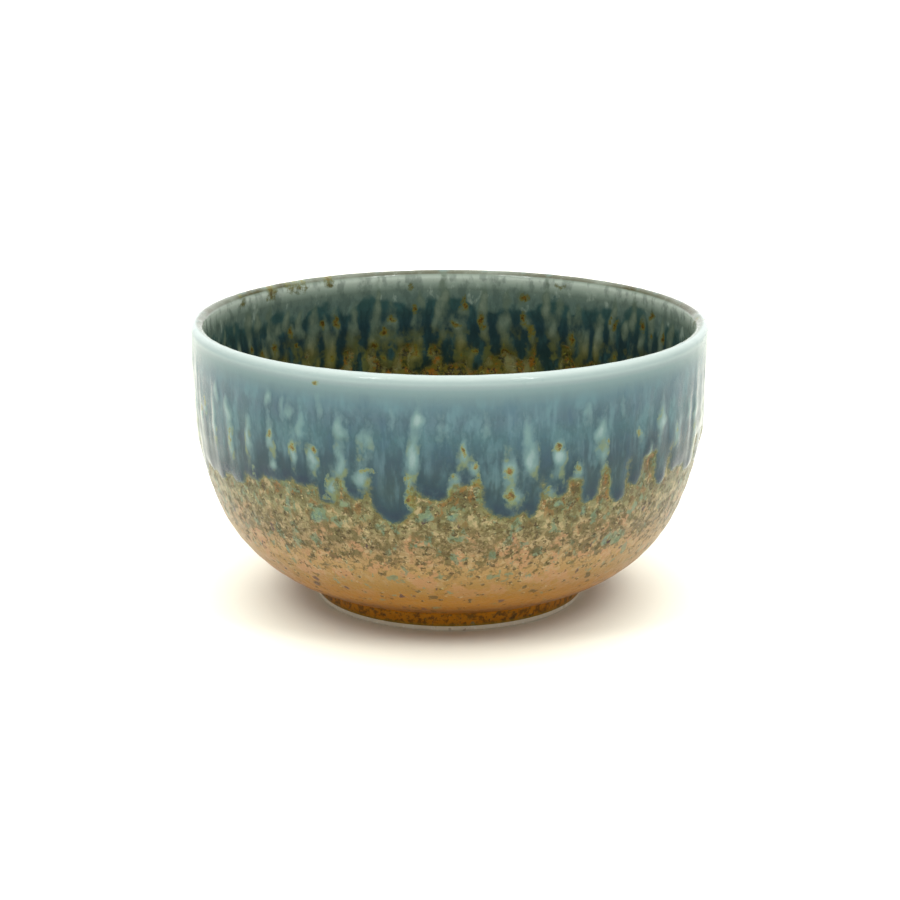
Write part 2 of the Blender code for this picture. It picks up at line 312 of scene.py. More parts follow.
def inner_fields():
    """The glaze inside: the same glazes, run in longer and closer cells, over a darker well."""
    wander = Wander(70, 1.2)
    drips = []
    tears = []
    ochre = list(LIP_RUST)
    for azimuth, rng in scattered(41, 0.0, 356.0, 7.0):
        drips.append((azimuth, rng.uniform(4.4, 7.5), rng.uniform(20.0, 27.0)))
    for start, top, broken in ((0.0, 7.0, 0.3), (2.6, 11.5, 0.45), (1.2, 16.0, 0.6), (3.7, 21.0, 0.8)):
        for azimuth, rng in scattered(42 + int(top), start, start + 355.0, 5.3):
            middle = top + rng.uniform(-2.2, 2.2)
            width = rng.uniform(2.8, 5.2)
            tears.append((azimuth, middle, rng.uniform(6.0, 11.5), width, rng.uniform(0.55, 1.0)))
            if rng.random() < broken:
                core = middle + rng.uniform(-2.0, 1.5)
                aside = azimuth + rng.uniform(-0.8, 0.8)
                ochre.append((aside, core, rng.uniform(1.8, 4.2), 0.6 * width, 0.9))
    shoulder = 17.5 + 2.0 * ring_noise(14, 26, 100.0)[:1]
    run, gathered = run_fields(drips, shoulder, wander)
    band = 5.4 + 1.8 * ring_noise(15, 40, 100.0)[:1] + 1.5 * ring_noise(16, 80, 100.0)[:1] + 1.6 * wander.down
    return finished_fields(run, gathered, tear_field(tears, wander), drops(ochre, wander, 0.0), band, seed=50)


def finished_fields(run, gathered, pale, ochre, lip_band, seed):
    """All that the materials read, and the surface's height over the plain turned wall, in millimetres."""
    cover = blurred(run, 0.45)
    if np.ndim(lip_band):
        band = smooth(down, lip_band + 2.4, lip_band - 2.0)
    else:
        band = np.zeros_like(cover)
    streaks = ring_noise(seed, 150, 14.0) * 0.6 + ring_noise(seed + 1, 260, 9.0) * 0.4
    ribs = blurred(streaks * smooth(down, 3.0, 9.0), 0.4, 1.0)
    thrown = 0.10 * ring_noise(seed + 2, 9, 14.0) + 0.05 * ring_noise(seed + 3, 26, 6.0)
    turning = 0.03 * np.sin(tau * down / 4.6 + around + 1.5 * ring_noise(seed + 4, 7, 20.0))
    pitted = 0.035 * grain(seed + 5, 1.15) + 0.02 * grain(seed + 6, 0.6)
    bead = blurred(run, 0.6)
    height = (
        thrown + turning * smooth(down, 1.5, 8.0)
        + 0.18 * bead + 0.16 * blurred(gathered * run, 0.6)
        + (0.26 * blurred(pale, 0.5) + 0.18 * ribs) * bead
        - 0.10 * blurred(ochre, 0.3)
        + pitted * (1 - bead)
    )
    # On the far half, away from the viewer, the crest is darkened with olive: partly the glaze broken to
    # olive, partly painted shade of the crest seen edge-on
    far_side = smooth(np.abs(around - pi), radians(112.0), radians(85.0)) * np.ones_like(down)
    crest_olive_and_shade = far_side * (0.7 + 0.3 * ring_noise(31, 70, 100.0))
    return {"cover": cover, "pale": pale, "ochre": ochre, "gathered": gathered, "band": band,
            "streaks": streaks, "crest_olive_and_shade": crest_olive_and_shade, "height": height}


OUTSIDE = outer_fields()
INSIDE = inner_fields()


def sampled(field, azimuth, distance):
    """The field's value at points given by azimuth and distance."""
    u = (azimuth % tau) / tau * AROUND
    v = np.clip(distance / DOWN_STEP, 0, ROWS - 1.001)
    i = np.floor(u).astype(int) % AROUND
    j = np.floor(v).astype(int)
    s = u - np.floor(u)
    t = v - j
    k = (i + 1) % AROUND
    top = field[j, i] * (1 - s) + field[j, k] * s
    bottom = field[j + 1, i] * (1 - s) + field[j + 1, k] * s
    return top * (1 - t) + bottom * t


# ---------------------------------------------------------------- meshes

COLUMNS = 720
azimuths = np.arange(COLUMNS) * tau / COLUMNS
STORED = ("cover", "pale", "ochre", "gathered", "band", "streaks", "crest_olive_and_shade")


def seam(fields, margin):
    """For each column, the distance at which the blue coat ends: just past its lowest run."""
    reached = (fields["cover"] > 0.04) & (down < 40.0)
    lowest = ROWS - 1 - np.argmax(reached[::-1], axis=0)
    line = lowest * DOWN_STEP + margin
    # A column's seam is no more than a slope away from its neighbours', so the mesh's rows stay even
    line = np.max([np.roll(line, k) - abs(k) * 0.16 for k in range(-24, 25)], axis=0)
    wide = np.concatenate([line, line, line])
    weights = np.hanning(17)
    line = np.convolve(wide, weights / weights.sum(), "same")[AROUND:2 * AROUND]
    return np.interp(azimuths, np.append(around[0], tau), np.append(line, line[0]))


OUTER_SEAM = seam(OUTSIDE, 0.8)
INNER_SEAM = seam(INSIDE, 0.8)


def outer_rows(start, end, count, sunk=0.0):
    """Rows of the outside from start to end, each an array over the columns: points and stored fields."""
    for t in np.linspace(0.0, 1.0, count):
        distance = start + (end - start) * t
        lift = sampled(OUTSIDE["height"], azimuths, distance) if not sunk else -sunk
        r, z = wall_point(distance, -lift * np.ones(COLUMNS))
        yield r, z, distance, OUTSIDE, 0.0


def inner_rows(start, end, count, sunk=0.0):
    """Rows of the inside, the same way."""
    for t in np.linspace(0.0, 1.0, count):
        distance = start + (end - start) * t
        lift = sampled(INSIDE["height"], azimuths, distance) if not sunk else -sunk
        r, z = wall_point(distance, inside_depth(distance) + lift)
        yield r, z, distance, INSIDE, 1.0


def lip_rows(count, sunk=0.0):
    """Rows round the lip, from the outer tangent point to the inner one, without those two."""
    top = np.zeros(COLUMNS)
    out_lift = sampled(OUTSIDE["height"], azimuths, top)
    in_lift = sampled(INSIDE["height"], azimuths, top)
    for i in range(1, count):
        t = i / count
        lift = out_lift * (1 - t) + in_lift * t if not sunk else -sunk
        radius = (LIP_RADIUS + lift) * np.ones(COLUMNS)
        r = LIP_CENTRE[0] + radius * cos(pi * t)
        z = LIP_CENTRE[1] + radius * sin(pi * t)
        yield r, z, top, OUTSIDE if t < 0.5 else INSIDE, t


def plain_row(r, z, distance, fields=OUTSIDE, inside=0.0):
    """One row at the same r and z all round."""
    full = np.ones(COLUMNS)
    return full * r, full * z, full * distance, fields, inside


def shell(name, rows, material, stands_for, closed=True):
    """A closed piece from rows of points that run round its section; an open section ends on the axis."""
    rows = list(rows)
    radius = np.array([row[0] for row in rows])
    height = np.array([row[1] for row in rows])
    turn = azimuths[None, :]
    # Azimuth 0 faces the viewer, at -Y, and grows towards +X
    points = np.stack([radius * np.sin(turn), -radius * np.cos(turn), height], axis=2) * MM
    count = len(rows)
    grid = np.arange(count * COLUMNS).reshape(count, COLUMNS)
    upper, lower = (grid, np.roll(grid, -1, axis=0)) if closed else (grid[:-1], grid[1:])
    faces = np.stack(
        [upper, lower, np.roll(lower, -1, axis=1), np.roll(upper, -1, axis=1)], axis=2
    ).reshape(-1, 4).tolist()
    points = points.reshape(-1, 3)
    if not closed:
        poles = np.array([[0, 0, points[grid[end], 2].mean()] for end in (0, -1)])
        first = len(points)
        last = first + 1
        points = np.concatenate([points, poles])
        faces += [[first, grid[0, i], grid[0, (i + 1) % COLUMNS]] for i in range(COLUMNS)]
        faces += [[last, grid[-1, (i + 1) % COLUMNS], grid[-1, i]] for i in range(COLUMNS)]
    mesh = bpy.data.meshes.new(name)
    mesh.from_pydata(points.tolist(), [], faces)
    mesh.update()
    piece = bpy.data.objects.new(name, mesh)
    bpy.context.scene.collection.objects.link(piece)
    face_outward(mesh)
    mesh.shade_smooth()
    mesh.set_sharp_from_angle(angle=radians(55))
    store_fields(mesh, rows, len(points) - count * COLUMNS)
    mesh.materials.append(material)
    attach(piece, "root")
    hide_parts(stands_for)
    return piece


def face_outward(mesh):
    """Turns the faces over if the closed mesh holds a negative volume."""
    points = np.empty(len(mesh.vertices) * 3)
    mesh.vertices.foreach_get("co", points)
    points = points.reshape(-1, 3)
    mesh.calc_loop_triangles()
    corners = np.empty(len(mesh.loop_triangles) * 3, int)
    mesh.loop_triangles.foreach_get("vertices", corners)
    a, b, c = (points[corners[i::3]] for i in range(3))
    if np.einsum("ij,ij->i", a, np.cross(b, c)).sum() < 0:
        mesh.flip_normals()


def store_fields(mesh, rows, poles):
    """The fields' values, and distance and side, as attributes of the mesh's points."""
    values = {key: [] for key in STORED}
    values["down"] = []
    values["inside"] = []
    for _, _, distance, fields, inside in rows:
        for key in STORED:
            values[key].append(sampled(fields[key], azimuths, distance))
        values["down"].append(distance)
        values["inside"].append(np.full(COLUMNS, inside))
    for key, parts in values.items():
        flat = np.concatenate(parts + [parts[0][:1], parts[-1][:1]][:poles])
        layer = mesh.attributes.new(key, "FLOAT", "POINT")
        layer.data.foreach_set("value", flat.astype(np.float32))


# ---------------------------------------------------------------- materials


def tint(code):
    """Linear RGBA of an sRGB colour written as rrggbb."""
    parts = [int(code[i:i + 2], 16) / 255 for i in (0, 2, 4)]
    return tuple(v / 12.92 if v <= 0.04045 else ((v + 0.055) / 1.055) ** 2.4 for v in parts) + (1.0,)


class Graph:
    """A material's nodes, written as expressions: sockets or plain values go in, sockets come out."""

    def __init__(self, name):
        self.material = bpy.data.materials.new(name)
        self.material.use_nodes = True
        self.nodes = self.material.node_tree.nodes
        self.links = self.material.node_tree.links
        self.shader = self.nodes["Principled BSDF"]

    def feed(self, value, socket):
        if isinstance(value, bpy.types.NodeSocket):
            self.links.new(value, socket)
        else:
            socket.default_value = value

    def attribute(self, name):
        node = self.nodes.new("ShaderNodeAttribute")
        node.attribute_name = name
        return node.outputs["Fac"]

    def place(self, stretch=(1.0, 1.0, 1.0)):
        """The surface point in millimetres, with each axis multiplied by stretch."""
        node = self.nodes.new("ShaderNodeVectorMath")
        node.operation = "MULTIPLY"
        self.feed(self.nodes.new("ShaderNodeTexCoord").outputs["Object"], node.inputs[0])
        node.inputs[1].default_value = [s / MM for s in stretch]
        return node.outputs[0]

    def noise(self, vector, size, detail=3.0, rough=0.55):
        """Noise from 0 to 1 whose blobs are about this many millimetres across."""
        node = self.nodes.new("ShaderNodeTexNoise")
        self.feed(vector, node.inputs["Vector"])
        node.inputs["Scale"].default_value = 1 / size
        node.inputs["Detail"].default_value = detail
        node.inputs["Roughness"].default_value = rough
        return node.outputs["Fac"]

    def math(self, operation, a, b=0.0, clamp=False):
        node = self.nodes.new("ShaderNodeMath")
        node.operation = operation
        node.use_clamp = clamp
        self.feed(a, node.inputs[0])
        self.feed(b, node.inputs[1])
        return node.outputs[0]

    def step(self, value, low, high, out_low=0.0, out_high=1.0):
        """A smooth step of value from low to high."""
        node = self.nodes.new("ShaderNodeMapRange")
        node.interpolation_type = "SMOOTHSTEP"
        for key, number in (("Value", value), ("From Min", low), ("From Max", high),
                            ("To Min", out_low), ("To Max", out_high)):
            self.feed(number, node.inputs[key])
        return node.outputs[0]

    def mix(self, factor, a, b):
        """Colour a where factor is 0, colour b where it is 1."""
        node = self.nodes.new("ShaderNodeMix")
        node.data_type = "RGBA"
        self.feed(factor, node.inputs["Factor"])
        self.feed(a, node.inputs["A"])
        self.feed(b, node.inputs["B"])
        return node.outputs["Result"]

    def ramp(self, value, span, stops):
        """A colour ramp over value from 0 to span: stops are (value, rrggbb)."""
        node = self.nodes.new("ShaderNodeValToRGB")
        self.feed(self.math("DIVIDE", value, span), node.inputs["Fac"])
        elements = node.color_ramp.elements
        while len(elements) < len(stops):
            elements.new(0.5)
        for element, (place, code) in zip(elements, stops):
            element.position = place / span
            element.color = tint(code)
        return node.outputs["Color"]

    def bent(self, vector, size, amount):
        """The vector strayed by a noise with blobs of one size, by up to an amount, both in millimetres."""
        node = self.nodes.new("ShaderNodeTexNoise")
        self.feed(vector, node.inputs["Vector"])
        node.inputs["Scale"].default_value = 1 / size
        node.inputs["Detail"].default_value = 2.0
        shifted = self.nodes.new("ShaderNodeVectorMath")
        shifted.operation = "MULTIPLY_ADD"
        self.feed(node.outputs["Color"], shifted.inputs[0])
        shifted.inputs[1].default_value = [2 * amount] * 3
        self.feed(vector, shifted.inputs[2])
        return shifted.outputs[0]

    def flecks(self, vector, size, share, reach=0.62, soft=0.10):
        """Irregular flecks about this size, each of its own width; share of the cells hold one."""
        node = self.nodes.new("ShaderNodeTexVoronoi")
        self.feed(vector, node.inputs["Vector"])
        node.inputs["Scale"].default_value = 1 / size
        split = self.nodes.new("ShaderNodeSeparateColor")
        self.feed(node.outputs["Color"], split.inputs[0])
        held = self.step(split.outputs[0], self.math("ADD", share, 0.02), self.math("SUBTRACT", share, 0.02))
        width = self.step(split.outputs[1], 0.0, 1.0, reach * 0.45, reach)
        inside = self.step(node.outputs["Distance"], width, self.math("SUBTRACT", width, soft))
        return self.math("MULTIPLY", held, inside)

    def bump(self, height, distance, strength=1.0):
        node = self.nodes.new("ShaderNodeBump")
        node.inputs["Strength"].default_value = strength
        node.inputs["Distance"].default_value = distance * MM
        self.feed(height, node.inputs["Height"])
        return node.outputs["Normal"]


class Glaze(Graph):
    """A graph that holds the fields stored on the coats, and the noises that fray them."""

    def __init__(self, name):
        super().__init__(name)
        self.distance = self.attribute("down")
        self.side = self.attribute("inside")
        self.inside = self.step(self.side, 0.46, 0.80)
        self.cover = self.attribute("cover")
        self.fine = self.noise(self.bent(self.place(), 1.2, 0.5), 1.1, 4.0, 0.65)
        self.ragged = self.math("SUBTRACT", self.fine, 0.5)

        # Where the glaze lies thin, in the tears
        self.pale = self.attribute("pale")
        upright = self.math("SUBTRACT", self.noise(self.place((1, 1, 0.65)), 1.7, 3.0, 0.6), 0.5)
        self.thin = self.math("ADD", self.pale, self.math("MULTIPLY", upright, 0.7))

        # Where the glaze has broken, with a ragged outline, and the browns it breaks to
        ochre = self.attribute("ochre")
        ochre_noise = self.math("MULTIPLY", self.ragged, self.step(ochre, 0.0, 0.3, 0.0, 2.2))
        self.broken = self.math("ADD", ochre, ochre_noise)
        brown_outside = self.mix(self.step(self.fine, 0.35, 0.65), tint("835c24"), tint("452c0f"))
        brown_inside = self.mix(self.step(self.fine, 0.4, 0.6), tint("724d15"), tint("402d0d"))
        self.brown = self.mix(self.inside, brown_outside, brown_inside)


def dark_specks(g, ground, busy, clouds):
    """The ground with its dark specks: ragged lines, tatters, coarse and small grains, a few plum ones."""
    contour = g.math("ABSOLUTE", g.math("SUBTRACT", g.noise(g.bent(g.place(), 1.3, 1.0), 2.6, 2.0), 0.5))
    lines = g.math("MULTIPLY", g.step(contour, 0.045, 0.015), g.step(clouds, 0.60, 0.46))
    lines = g.math("MULTIPLY", lines, g.step(busy, 0.15, 0.9))
    tatters = g.noise(g.bent(g.place(), 0.9, 0.9), 1.7, 4.0, 0.62)
    low_tatters = g.step(busy, 0.0, 1.0, 0.66, 0.565)
    tattered = g.step(tatters, low_tatters, g.math("ADD", low_tatters, 0.045))
    coarse = g.flecks(g.bent(g.place(), 1.2, 1.6), 2.0, g.step(busy, 0.0, 1.0, 0.09, 0.16), 0.62, 0.20)
    small = g.flecks(g.bent(g.place(), 0.8, 0.9), 1.0, g.step(busy, 0.0, 1.0, 0.09, 0.28), 0.62, 0.20)
    plum = g.flecks(g.bent(g.place((1, 1, 0.7)), 1.2, 0.9), 2.4, 0.12, 0.38, 0.12)
    ground = g.mix(g.math("MULTIPLY", tattered, 0.70), ground, tint("48401e"))
    ground = g.mix(g.math("MULTIPLY", lines, 0.60), ground, tint("47381b"))
    ground = g.mix(g.math("MULTIPLY", coarse, 0.75), ground, tint("41381b"))
    ground = g.mix(g.math("MULTIPLY", small, 0.75), ground, tint("33260e"))
    ground = g.mix(g.math("MULTIPLY", plum, 0.80), ground, tint("38212e"))
    return ground, g.math("MAXIMUM", g.math("MAXIMUM", coarse, tattered), small)


def mottled_foot(g, ground):
    """The ground with a dark mottling on the foot, and more yellow along its wiped edge."""
    foot = g.step(g.distance, 71.0, 72.5)
    dark = g.step(g.noise(g.place(), 1.5, 4.0, 0.75), 0.48, 0.56)
    ground = g.mix(g.math("MULTIPLY", foot, g.math("MULTIPLY", dark, 0.75)), ground, tint("4a330c"))
    return g.mix(g.step(g.distance, 74.2, 75.2, 0.0, 0.7), ground, tint("8a7424"))


def speckled_ground(g):
    """The speckled glaze outside, crowded under the drips and amber on the foot; its cream; its specks."""
    ground = g.ramp(g.distance, 80.0, [
        (20.0, "2d3312"), (31.0, "777350"), (38.0, "84704f"), (44.0, "9a7b4d"), (50.0, "8b672c"),
        (54.0, "8d5e06"), (58.0, "986304"), (62.0, "824e00"), (67.0, "824800"), (71.0, "824b00"),
        (72.5, "ad6e0c"),
    ])
    ground = g.mix(g.step(g.broken, 0.30, 0.8, 0.0, 0.85), ground, g.brown)
    busy = g.step(g.distance, 58.0, 34.0)  # 1 under the drips, 0 near the foot
    clouds = g.noise(g.place(), 5.0, 4.0, 0.6)
    rosy = g.math("MULTIPLY", g.step(g.distance, 30.0, 36.0), g.step(g.distance, 58.0, 46.0, 0.0, 0.6))
    ground = g.mix(g.math("MULTIPLY", g.step(clouds, 0.50, 0.58), rosy), ground, tint("a27655"))
    crumbs = g.noise(g.bent(g.place(), 1.6, 1.2), 2.3, 3.0, 0.55)
    olive = g.step(crumbs, g.step(busy, 0.0, 1.0, 0.28, 0.50), g.step(busy, 0.0, 1.0, 0.20, 0.42))
    ground = g.mix(g.math("MULTIPLY", olive, 0.78), ground, tint("544c2a"))
    light = g.math("MULTIPLY", g.step(crumbs, 0.56, 0.64), busy)
    ground = g.mix(g.math("MULTIPLY", light, 0.62), ground, tint("a7946f"))
    rust = g.step(g.noise(g.bent(g.place((1, 1, 0.7)), 1.5, 1.0), 1.9, 3.0, 0.6), 0.54, 0.62)
    rust = g.math("MULTIPLY", rust, g.step(g.distance, 34.0, 27.0, 0.08, 0.75))
    ground = g.mix(rust, ground, tint("785124"))
    teal_noise = g.noise(g.bent(g.place((1, 1, 0.8)), 2.0, 1.2), 3.2, 3.0, 0.6)
    teal = g.step(teal_noise, g.step(busy, 0.0, 1.0, 0.64, 0.555), g.step(busy, 0.0, 1.0, 0.68, 0.61))
    ground = g.mix(g.math("MULTIPLY", teal, 0.65), ground, tint("55725c"))
    cream = g.flecks(g.bent(g.place(), 1.1, 0.8), 1.0, g.step(busy, 0.0, 1.0, 0.07, 0.24), 0.60, 0.25)
    ground = g.mix(g.math("MULTIPLY", cream, 0.60), ground, tint("aa9c71"))
    ground, specks = dark_specks(g, ground, busy, clouds)
    return mottled_foot(g, ground), cream, specks


def well_ground(g, cream, specks):
    """The same glaze in the well: amber, olive and dark specks close together."""
    well = g.ramp(g.distance, 100.0, [(16.0, "404017"), (24.0, "534d19"), (60.0, "4d3e14"), (80.0, "423611")])
    clouds = g.noise(g.bent(g.place(), 1.5, 1.0), 2.4, 4.0, 0.65)
    well = g.mix(g.step(clouds, 0.51, 0.60, 0.0, 0.75), well, tint("73470a"))
    well = g.mix(g.step(clouds, 0.47, 0.38, 0.0, 0.80), well, tint("232c11"))
    well = g.mix(g.math("MULTIPLY", cream, 0.6), well, tint("787838"))
    return g.mix(g.math("MULTIPLY", specks, 0.8), well, tint("1b1708"))


def blue_outside(g):
    """The blue glaze: pale on the lip, grey-blue and faintly streaked on the wall, deep where it gathers."""
    streaks = g.attribute("streaks")
    gathered = g.attribute("gathered")
    blue = g.ramp(g.distance, 40.0, [
        (0.0, "8c9d9d"), (0.6, "7b8c8e"), (1.5, "6a8082"), (3.0, "5b7277"), (5.0, "4c666f"), (8.0, "445b66"),
        (12.0, "3a5860"), (17.0, "2c424c"), (24.0, "2a3e40"),
    ])
    wall = g.step(g.distance, 1.0, 7.0)  # the lip itself has no streaks
    soft = g.noise(g.place((1, 1, 0.45)), 4.0, 3.0)
    drawn = g.noise(g.place((1, 1, 0.18)), 1.6, 2.0)
    blue = g.mix(g.step(streaks, 0.0, 0.9, 0.0, g.math("MULTIPLY", wall, 0.30)), blue, tint("62828b"))
    blue = g.mix(g.step(streaks, -0.1, -0.9, 0.0, g.math("MULTIPLY", wall, 0.30)), blue, tint("29404c"))
    blue = g.mix(g.step(soft, 0.50, 0.66, 0.0, g.math("MULTIPLY", wall, 0.35)), blue, tint("5e8288"))
    blue = g.mix(g.step(soft, 0.48, 0.34, 0.0, g.math("MULTIPLY", wall, 0.35)), blue, tint("2c475b"))
    blue = g.mix(g.step(drawn, 0.50, 0.75, 0.0, g.math("MULTIPLY", wall, 0.25)), blue, tint("62828b"))
    blue = g.mix(g.step(gathered, 0.05, 0.80, 0.0, 0.80), blue, tint("1b333e"))
    blue = g.mix(g.step(gathered, 0.70, 1.0, 0.0, 0.60), blue, tint("18263d"))
    return g.mix(g.step(g.side, 0.0, 0.30), blue, tint("9ca9a5"))


def blue_inside(g):
    """The blue glaze inside: a pale band hangs from the lip over a green that is almost black; the band's
    palest colours at the top are partly a painted reflection of the white surroundings.
    """
    # Painted reflection: the palest stops near the lip stand partly for the white surroundings mirrored in
    # the glaze, over the glaze's own pale band
    rim = g.ramp(g.distance, 40.0, [
        (0.0, "b6c4b6"), (1.5, "8a9b8d"), (3.0, "617266"), (5.0, "576b62"), (9.0, "50655a"),
    ])
    patches = g.noise(g.place((1, 1, 0.6)), 2.6, 3.0)
    rim = g.mix(g.step(patches, 0.52, 0.36, 0.0, 0.45), rim, tint("3f5049"))
    rim = g.mix(g.step(patches, 0.58, 0.70, 0.0, 0.40), rim, tint("a5b5a6"))
    deep = g.ramp(g.distance, 40.0, [(2.0, "425c56"), (6.0, "2e4946"), (12.0, "1e3337"), (26.0, "152519")])
    drawn = g.noise(g.place((1, 1, 0.35)), 2.4, 2.0)
    deep = g.mix(g.step(drawn, 0.45, 0.75, 0.0, 0.5), deep, tint("335250"))
    band = g.math("ADD", g.attribute("band"), g.math("MULTIPLY", g.ragged, 0.6))
    return g.mix(g.step(band, 0.2, 0.8), deep, rim)


def worn_and_shaded_lip(g, blue):
    """The glaze lies thin over the lip: greyer on its inner roll; on the crest of the far half, dark olive
    that is partly the glaze broken to olive and partly painted shade.
    """
    roll = g.math("MULTIPLY", g.step(g.side, 0.42, 0.56), g.step(g.side, 1.0, 0.80))
    blue = g.mix(g.math("MULTIPLY", roll, 0.75), blue, tint("647061"))
    # Painted shade: the dark olive crest, only on the far half, stands partly for shade on the crest seen
    # edge-on
    crest = g.math("MULTIPLY", g.step(g.side, 0.36, 0.50), g.step(g.side, 0.86, 0.77))
    crest = g.math("MULTIPLY", crest, g.attribute("crest_olive_and_shade"))
    crest = g.math("MULTIPLY", crest, g.step(g.fine, 0.25, 0.50, 0.60, 1.0))
    return g.mix(crest, blue, tint("3c3a1a"))


def torn(g, blue):
    """Pale tears, edged with yellow-green here and there, which break to brown where they are thinnest."""
    aged = g.step(g.distance, 11.0, 19.0)  # inside, the tears turn from grey to olive on their way down
    olive_grey = g.mix(aged, tint("556554"), tint("505227"))
    pale_grey = g.mix(aged, tint("768370"), tint("6f6b3e"))
    halo = g.math("MULTIPLY", g.step(g.thin, 0.0, 0.14), g.step(g.thin, 0.30, 0.14))
    halo = g.math("MULTIPLY", halo, g.step(g.distance, 4.0, 8.0))
    blue = g.mix(g.math("MULTIPLY", halo, 0.30), blue, g.mix(g.inside, tint("213d45"), tint("142527")))
    low = g.step(g.side, 0.5, 0.8, 0.05, 0.30)  # outside, the tears show where they are fainter
    blue = g.mix(g.step(g.thin, low, 0.68, 0.0, 0.75), blue, g.mix(g.inside, tint("64807f"), olive_grey))
    blue = g.mix(g.step(g.thin, 0.55, 1.15, 0.0, 0.70), blue, g.mix(g.inside, tint("8ca09f"), pale_grey))
    rim = g.math("MULTIPLY", g.step(g.thin, 0.12, 0.34), g.step(g.thin, 0.70, 0.42))
    rim = g.math("MULTIPLY", rim, g.step(g.noise(g.place(), 3.5, 2.0), 0.49, 0.62))
    rim = g.math("MULTIPLY", rim, g.step(g.distance, 10.0, 18.0, 0.0, 0.70))
    rim = g.math("MULTIPLY", rim, g.step(g.pale, 0.02, 0.12))
    green_edge = g.mix(g.inside, tint("67724b"), tint("53572b"))
    blue = g.mix(rim, blue, green_edge)
    blue = g.mix(g.step(g.broken, 0.12, 0.40, 0.0, 0.55), blue, g.mix(g.inside, tint("6a7c63"), green_edge))
    gold = g.mix(g.inside, tint("726c1c"), tint("605a18"))
    blue = g.mix(g.step(g.broken, 0.42, 0.58, 0.0, 0.60), blue, gold)
    browned = g.step(g.broken, 0.56, 0.90, 0.0, g.step(g.distance, 1.0, 6.0, 0.60, 0.85))
    return g.mix(browned, blue, g.brown)


def teal_islands(g, under):
    """Below the blue, the same tears leave islands of teal in the speckled glaze."""
    island = g.step(g.math("ADD", g.thin, g.ragged), 0.30, 0.80, 0.0, 0.80)
    teal = g.mix(g.step(g.fine, 0.38, 0.62), tint("466461"), tint("6b826a"))
    return g.mix(island, under, g.mix(g.inside, teal, tint("676943")))


def glaze_material(name):
    """The whole glaze, outside and inside: blue over speckled, where they meet frayed and slightly green."""
    g = Glaze(name)
    ground, cream, specks = speckled_ground(g)
    under = teal_islands(g, g.mix(g.inside, ground, well_ground(g, cream, specks)))
    blue = torn(g, worn_and_shaded_lip(g, g.mix(g.inside, blue_outside(g), blue_inside(g))))
    ragged = g.math("MULTIPLY", g.ragged, g.step(g.cover, 0.75, 1.0, 1.5, 0.4))
    frayed = g.math("ADD", g.cover, ragged)
    over = g.step(frayed, 0.36, 0.64)
    edge = g.math("MULTIPLY", g.step(frayed, 0.0, 0.45), g.step(frayed, 1.0, 0.5))
    colour = g.mix(over, under, blue)
    colour = g.mix(g.math("MULTIPLY", edge, 0.38), colour, g.mix(g.inside, tint("6d6d37"), tint("4b4a1d")))
    g.feed(colour, g.shader.inputs["Base Color"])
    matt = g.math("ADD", g.math("MULTIPLY", specks, 0.12), 0.30)
    g.feed(g.step(over, 0.0, 1.0, matt, 0.11), g.shader.inputs["Roughness"])
    g.shader.inputs["IOR"].default_value = 1.31
    pits = g.math("SUBTRACT", g.fine, g.math("MULTIPLY", specks, 0.4))
    pits = g.math("MULTIPLY", pits, g.step(over, 0.0, 1.0, 1.0, 0.15))
    g.feed(g.bump(pits, 0.14), g.shader.inputs["Normal"])
    return g.material


def clay_material():
    """Bare stoneware: pale warm grey, with fine grog and iron specks."""
    g = Graph("bare_stoneware")
    body = g.mix(g.noise(g.place(), 4.0), tint("efe8d8"), tint("ddd3bd"))
    body = g.mix(g.math("MULTIPLY", g.flecks(g.place(), 0.7, 0.3), 0.6), body, tint("f3eee2"))
    body = g.mix(g.math("MULTIPLY", g.flecks(g.place(), 1.1, 0.08), 0.4), body, tint("8a7254"))
    g.feed(body, g.shader.inputs["Base Color"])
    g.shader.inputs["Roughness"].default_value = 0.85
    g.feed(g.bump(g.noise(g.place(), 0.35, 4.0, 0.7), 0.08), g.shader.inputs["Normal"])
    return g.material


# ---------------------------------------------------------------- pieces


def rim_blue_coat(material):
    outer = list(outer_rows(OUTER_SEAM, 0.0, 58))
    inner = list(inner_rows(0.0, INNER_SEAM, 46))
    front = outer + list(lip_rows(10)) + inner
    back = list(inner_rows(INNER_SEAM, 0.0, 7, sunk=GLAZE)) + list(lip_rows(4, sunk=GLAZE))[::-1]
    back += list(outer_rows(0.0, OUTER_SEAM, 7, sunk=GLAZE))
    return shell("rim_blue_coat", front + back, material, "rim_blue_glaze")


def outer_speckled_coat(material):
    corner_z = wall_point(FOOT_CORNER, 0.0)[1]
    fillet_start = FOOT_CORNER - 1.2
    fillet_end = corner_z - 1.0
    front = list(outer_rows(OUTER_SEAM, fillet_start, 84))
    foot_top = FOOT_RADIUS + FOOT_FLARE
    # A small fillet, a curve of three points, turns the wall into the foot
    last_r, last_z = wall_point(fillet_start, 0.0)
    for t in (0.25, 0.5, 0.75, 1.0):
        first_share = (1 - t) ** 2
        middle_share = 2 * t * (1 - t)
        r = first_share * last_r + middle_share * (foot_top + 0.05) + t * t * (foot_top - 0.05)
        z = first_share * last_z + middle_share * (corner_z + 0.05) + t * t * fillet_end
        front.append(plain_row(r, z, FOOT_CORNER + t))
    for t in np.linspace(0.15, 1.0, 7):
        z = fillet_end * (1 - t) + WIPED_EDGE * t
        front.append(plain_row(foot_top - 0.05 - (FOOT_FLARE - 0.05) * t, z, FOOT_CORNER + 1 + 2.5 * t))
    back = [plain_row(FOOT_RADIUS - GLAZE, WIPED_EDGE, FOOT_CORNER + 3.5)]
    back.append(plain_row(FOOT_RADIUS - GLAZE, corner_z - 0.2, FOOT_CORNER))
    back += list(outer_rows(FOOT_CORNER, OUTER_SEAM, 10, sunk=GLAZE))
    return shell("outer_speckled_coat", front + back, material, "outer_speckled_glaze")


